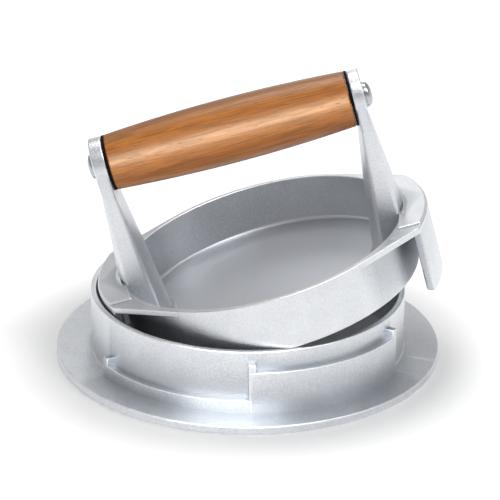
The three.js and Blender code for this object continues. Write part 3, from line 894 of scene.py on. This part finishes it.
class BURGER_OT_grip(bpy.types.Operator):
    """Turns the wood grip"""

    bl_idname = "burger.grip"
    bl_label = "Wood grip"

    def execute(self, context):
        grip, press = context.scene.burger_grip, context.scene.burger_press
        belly = grip.middle_radius - grip.end_radius
        barrel = [grip.half * BARREL_SHARE * (2 * i / BARREL_STEPS - 1) for i in range(BARREL_STEPS + 1)]
        corners = [
            (press.hole, -grip.half, 0),
            (grip.end_radius, -grip.half, grip.end_edge),
            *[(grip.end_radius + belly * (1 - (x / grip.half) ** 2), x, 0) for x in barrel],
            (grip.end_radius, grip.half, grip.end_edge),
            (press.hole, grip.half, 0),
        ]
        bm = turned(corners, GRIP_STEPS, "X")
        material = oiled_wood(context.scene.burger_finishes, press_place(press))
        small_piece(context, "turned_grip", bm, material, "wood_grip")
        return {"FINISHED"}


class BURGER_OT_washers(bpy.types.Operator):
    """Cuts the two black fibre washers at the grip's ends"""

    bl_idname = "burger.washers"
    bl_label = "Fibre washers"

    def execute(self, context):
        grip, press = context.scene.burger_grip, context.scene.burger_press
        material = black_fibre(context.scene.burger_finishes)
        start = (grip.half + press.lug_inside - grip.washer) / 2
        end = start + grip.washer
        for side, name in SIDES:
            bm = ring_shape(
                press.hole, grip.end_radius, side * start, side * end, grip.washer_edge, GRIP_STEPS, "X",
            )
            node_name = f"{name}_grip_washer"
            small_piece(context, f"{name}_fibre_washer", bm, material, node_name)
        return {"FINISHED"}


def hex_cutter(grip, side, face):
    """A hexagon prism that sinks the socket into a head's face."""
    bm = bmesh.new()
    across = grip.socket / math.sqrt(3)
    bmesh.ops.create_cone(
        bm, cap_ends=True, segments=6, radius1=across, radius2=across, depth=2 * grip.socket_depth,
        matrix=Matrix.Translation((side * face, 0, 0)) @ Matrix.Rotation(math.pi / 2, 4, "Y"),
    )
    return bm


def lug_face(press, side):
    """Distance from the middle to a lug's outer face, on one side."""
    extra = press.left_extra if side < 0 else 0
    return press.lug_inside + press.lug_thickness + extra


def bolt_part(grip, press, side, shank):
    """A domed head with its hexagon socket, and behind it the shank, given as corners from the axis out."""
    start = lug_face(press, side) + grip.head_washer_thickness
    tip = press.lug_inside + press.lug_thickness + grip.head_washer_thickness + grip.head_height
    dome = tip - start - grip.head_rim
    angles = [math.radians(DOME_STEP_DEGREES * i) for i in range(DOME_STEPS)]
    corners = [
        *shank,
        (shank[-1][0], start, 0),
        (grip.head_radius, start, grip.head_edge),
        *[(grip.head_radius * math.cos(a), start + grip.head_rim + dome * math.sin(a), 0) for a in angles],
        (0, tip, 0),
    ]
    bm = turned([(r, side * x, size) for r, x, size in corners], HEAD_STEPS, "X")
    return combined(bm, hex_cutter(grip, side, tip), "DIFFERENCE")


class BURGER_OT_bolt(bpy.types.Operator):
    """Turns the sleeve nut, the screw and their thin washers"""

    bl_idname = "burger.bolt"
    bl_label = "Through bolt"

    def execute(self, context):
        grip, press = context.scene.burger_grip, context.scene.burger_press
        material = zinc_steel(context.scene.burger_finishes)
        bottom, mouth = grip.sleeve_depth - grip.half, -grip.half
        sleeve = [
            (0, bottom, 0),
            (grip.sleeve_bore, bottom, 0),
            (grip.sleeve_bore, mouth, 0),
            (grip.sleeve, mouth, 0),
        ]
        left = bolt_part(grip, press, -1, sleeve)
        small_piece(context, "sleeve_nut_head", left, material, "sleeve_nut")
        core = grip.sleeve_bore - grip.seat
        tip = grip.half + grip.seat - grip.thread
        shoulder = grip.half + grip.seat
        screw = [(0, tip, 0), (core, tip, 0), (core, shoulder, 0), (grip.sleeve, shoulder, 0)]
        right = bolt_part(grip, press, 1, screw)
        small_piece(context, "handle_screw_head", right, material, "handle_screw")
        for side, name in SIDES:
            start = lug_face(press, side) + WASHER_FIT
            end = start + grip.head_washer_thickness - 2 * WASHER_FIT
            bm = ring_shape(
                press.hole, grip.head_washer, side * start, side * end, grip.head_edge, HEAD_STEPS, "X",
            )
            node_name = f"{name}_head_washer"
            small_piece(context, f"{name}_plain_washer", bm, material, node_name)
        return {"FINISHED"}


# Studio

def soft_box(name, place, size, power, lit):
    """An oblong area lamp aimed at the object, kept to the named pieces if there are any."""
    lamp = bpy.data.lights.new(name, "AREA")
    lamp.shape = "RECTANGLE"
    lamp.size, lamp.size_y = size
    lamp.energy = power
    made = bpy.data.objects.new(name, lamp)
    made.location = place
    made.visible_camera = False
    made.rotation_mode = "QUATERNION"
    made.rotation_quaternion = (Vector(LAMP_AIM) - Vector(place)).to_track_quat("-Z", "Y")
    bpy.context.scene.collection.objects.link(made)
    if lit:
        pieces = bpy.data.collections.new(f"{name}_pieces")
        for piece in lit:
            pieces.objects.link(bpy.data.objects[piece])
        made.light_linking.receiver_collection = pieces


def add_camera():
    """The photograph's camera: tilted down and rolled, then turned about the ring's axis."""
    forward = Vector((0, math.cos(CAMERA_TILT), -math.sin(CAMERA_TILT)))
    level_up = Vector((0, math.sin(CAMERA_TILT), math.cos(CAMERA_TILT)))
    level_right = Vector((1, 0, 0))
    right = level_right * math.cos(CAMERA_ROLL) + level_up * math.sin(CAMERA_ROLL)
    up = level_up * math.cos(CAMERA_ROLL) - level_right * math.sin(CAMERA_ROLL)
    turn = Matrix.Rotation(-CAMERA_YAW, 3, "Z")
    camera = bpy.data.objects.new("camera", bpy.data.cameras.new("camera"))
    camera.data.sensor_width = CAMERA_SENSOR
    camera.data.lens = CAMERA_LENS
    camera.data.clip_start = CAMERA_NEAR
    axes = Matrix((turn @ right, turn @ up, turn @ -forward)).transposed()
    place = turn @ (Vector(CAMERA_AIM) - forward * CAMERA_DISTANCE) + ring_place().translation
    camera.matrix_world = Matrix.Translation(place) @ axes.to_4x4()
    bpy.context.scene.collection.objects.link(camera)
    bpy.context.scene.camera = camera


def add_world():
    """A pale tent: white at the height of the object, greyer overhead, and a little darker by the camera."""
    world = bpy.data.worlds.new("studio")
    world.use_nodes = True
    tree = world.node_tree
    tree.nodes.clear()
    path = node(tree, "ShaderNodeLightPath")
    seen = any_of(tree, path, ["Is Camera Ray", "Is Glossy Ray", "Is Transmission Ray"])
    direction = node(tree, "ShaderNodeTexCoord").outputs["Generated"]
    parts = node(tree, "ShaderNodeSeparateXYZ", {0: direction})
    front = node(tree, "ShaderNodeMapRange", {
        "Value": parts.outputs["Y"], "From Min": TENT_FRONT_SIDE, "From Max": TENT_BACK_SIDE,
        "To Min": TENT_FRONT, "To Max": 1.0,
    }, clamp=True, interpolation_type="SMOOTHSTEP").outputs["Result"]
    high = node(tree, "ShaderNodeMath", {0: front, 1: TENT_TOP}, operation="MULTIPLY").outputs[0]
    tent = node(tree, "ShaderNodeMapRange", {
        "Value": parts.outputs["Z"], "From Min": TENT_WHITE, "From Max": TENT_GREY,
        "To Min": 1.0, "To Max": high,
    }, clamp=True, interpolation_type="SMOOTHSTEP").outputs["Result"]
    strength = node(tree, "ShaderNodeMix", {0: seen, 2: TENT_LIGHT, 3: tent}, data_type="FLOAT")
    back = node(tree, "ShaderNodeBackground", {"Color": (1, 1, 1, 1), "Strength": strength.outputs[0]})
    node(tree, "ShaderNodeOutputWorld", {"Surface": back.outputs[0]})
    bpy.context.scene.world = world


class BURGER_OT_studio(bpy.types.Operator):
    """Sets up the floor, the soft light and the camera"""

    bl_idname = "burger.studio"
    bl_label = "Studio"

    def execute(self, context):
        bm = bmesh.new()
        bmesh.ops.create_grid(bm, x_segments=1, y_segments=1, size=PAPER_HALF)
        floor = made_object("paper_floor", bm, white_paper(context.scene.burger_finishes))
        for lamp in SOFT_BOXES:
            soft_box(*lamp)
        add_world()
        add_camera()
        context.scene.view_settings.view_transform = "Standard"
        return {"FINISHED"}


class BURGER_PT_panel(bpy.types.Panel):
    """Sizes, colours and build steps of the burger press"""

    bl_idname = "BURGER_PT_panel"
    bl_label = "Burger press"
    bl_space_type = "VIEW_3D"
    bl_region_type = "UI"
    bl_category = "Burger press"

    def draw(self, context):
        for group, operators in PARTS.items():
            box = self.layout.box()
            settings = getattr(context.scene, group)
            for name in type(settings).__annotations__:
                box.prop(settings, name)
            for operator in operators:
                box.operator(operator.bl_idname)


PARTS = {
    "burger_ring": (BURGER_OT_ring,),
    "burger_press": (BURGER_OT_press,),
    "burger_grip": (BURGER_OT_grip, BURGER_OT_washers, BURGER_OT_bolt),
    "burger_finishes": (BURGER_OT_studio,),
}
GROUPS = {
    "burger_ring": RingSizes,
    "burger_press": PressSizes,
    "burger_grip": GripSizes,
    "burger_finishes": Finishes,
}
CLASSES = (*GROUPS.values(), *[one for kind in PARTS.values() for one in kind], BURGER_PT_panel)


def register():
    for kind in CLASSES:
        bpy.utils.register_class(kind)
    for name, kind in GROUPS.items():
        setattr(bpy.types.Scene, name, bpy.props.PointerProperty(type=kind))


def unregister():
    for name in GROUPS:
        delattr(bpy.types.Scene, name)
    for kind in reversed(CLASSES):
        bpy.utils.unregister_class(kind)


def main():
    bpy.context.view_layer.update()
    register()
    bpy.ops.burger.ring()
    bpy.ops.burger.press()
    bpy.ops.burger.grip()
    bpy.ops.burger.washers()
    bpy.ops.burger.bolt()
    bpy.ops.burger.studio()


if __name__ == "__main__":
    main()
